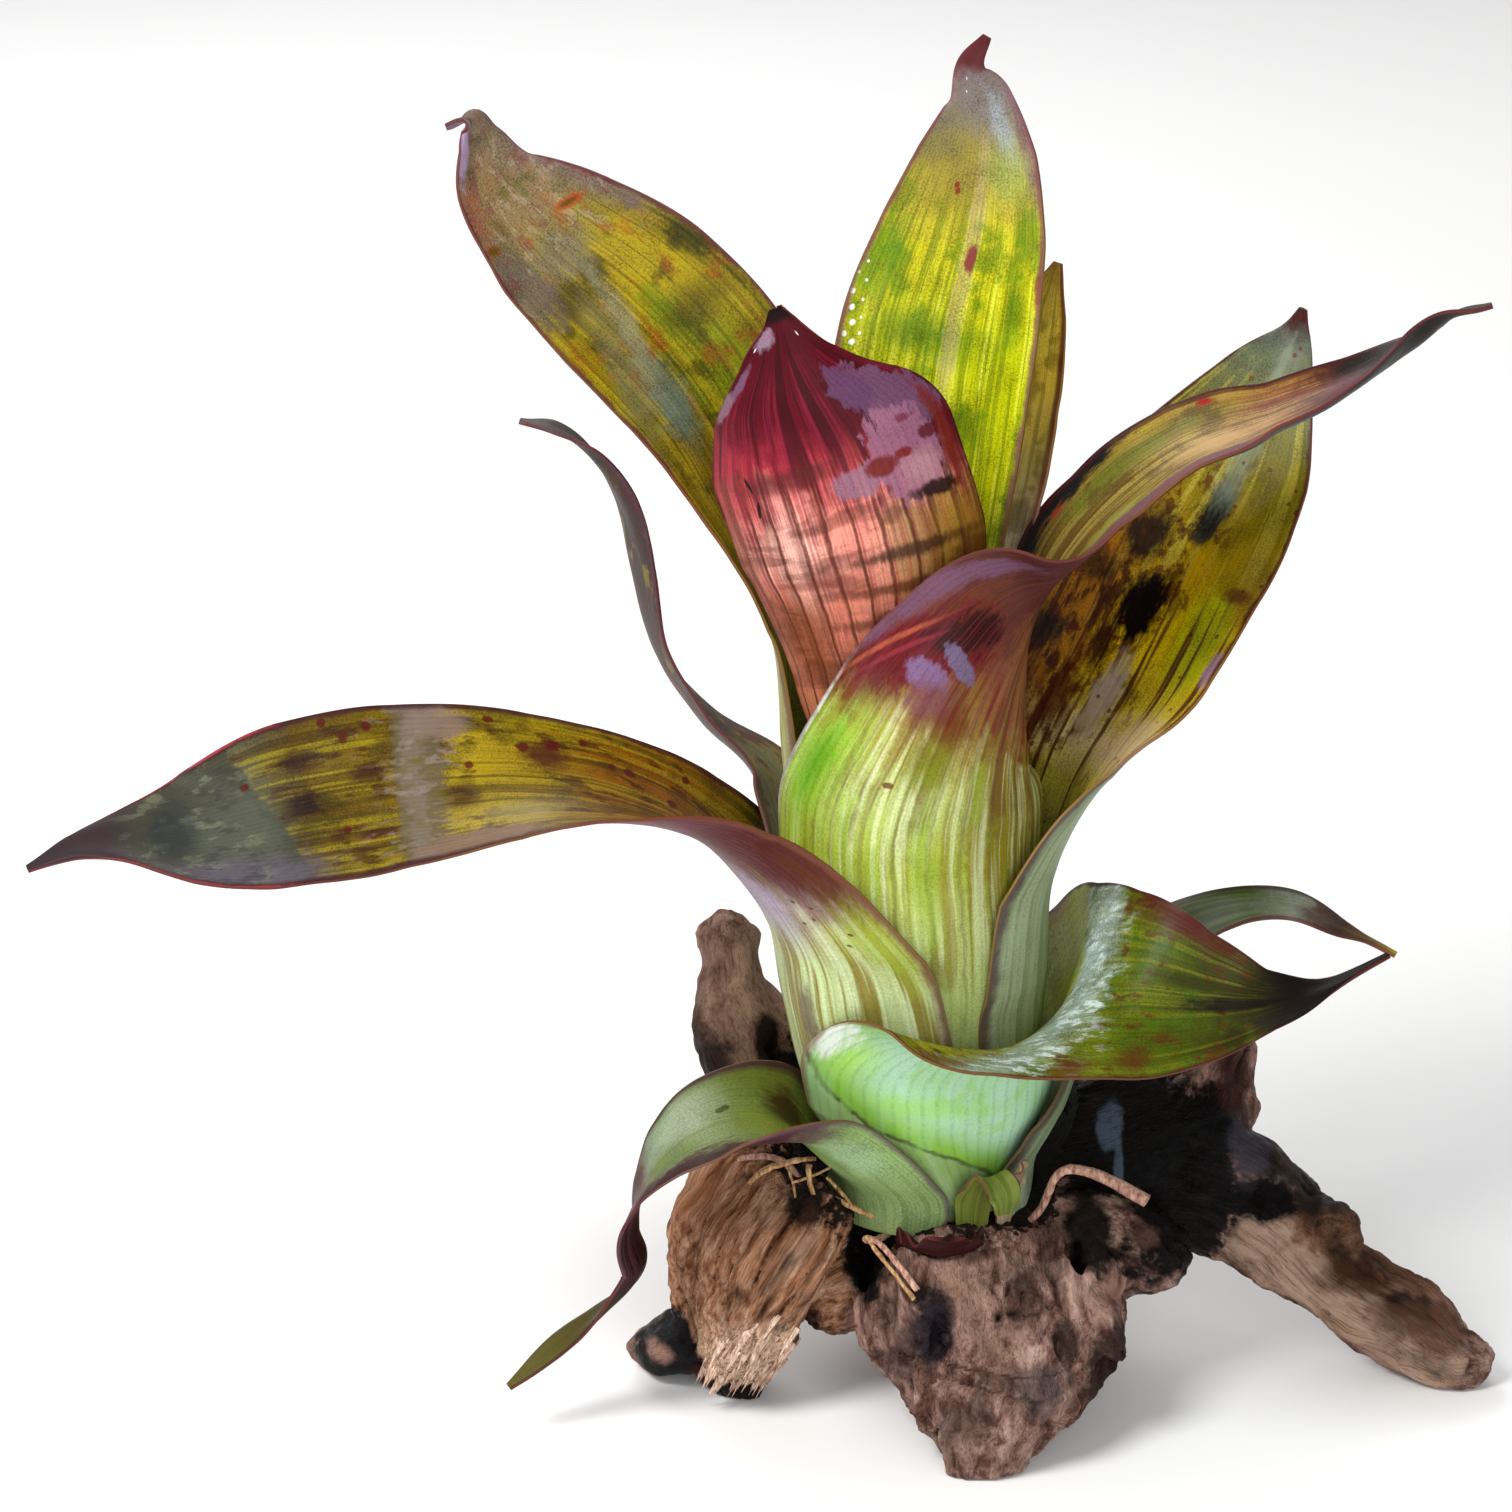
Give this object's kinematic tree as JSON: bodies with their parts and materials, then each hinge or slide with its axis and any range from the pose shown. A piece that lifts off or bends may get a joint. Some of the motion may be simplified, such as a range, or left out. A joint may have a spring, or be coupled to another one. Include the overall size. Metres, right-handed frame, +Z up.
{
  "type": "spotted bromeliad on driftwood",
  "caption": "Small spotted tank bromeliad, an upright rosette of strap leaves with hooked tips, growing on a forked piece of driftwood that stands on its own feet.",
  "frame": {"origin": "centre of the part's box, on the surface that the driftwood stands on", "axes": "+Z up; +X to the right and +Y away, as the plant is seen from its front; the longest leaves reach along X"},
  "size_m": [0.2463, 0.0933, 0.2274],
  "materials": {
    "driftwood": "wet weathered driftwood",
    "stem": "fibrous stem and wiry roots",
    "heart_leaf": "satin leaf with waxy bloom",
    "spotted_leaf": "glossy spotted leaf",
    "old_scale": "dry papery scale"
  },
  "bodies": {
    "root": {"driftwood": "driftwood", "stem": "stem", "leaf_heart": "heart_leaf", "leaf_top": "spotted_leaf", "leaf_behind": "spotted_leaf", "leaf_upper_left": "spotted_leaf", "leaf_cup": "spotted_leaf", "leaf_right_back": "spotted_leaf", "leaf_left_back": "spotted_leaf", "leaf_long_left": "spotted_leaf", "leaf_right_front": "spotted_leaf", "leaf_right_rear": "spotted_leaf", "leaf_lower_left": "spotted_leaf", "scale_red": "old_scale", "scale_curled": "spotted_leaf", "scale_dry": "old_scale"}
  },
  "joints": []
}
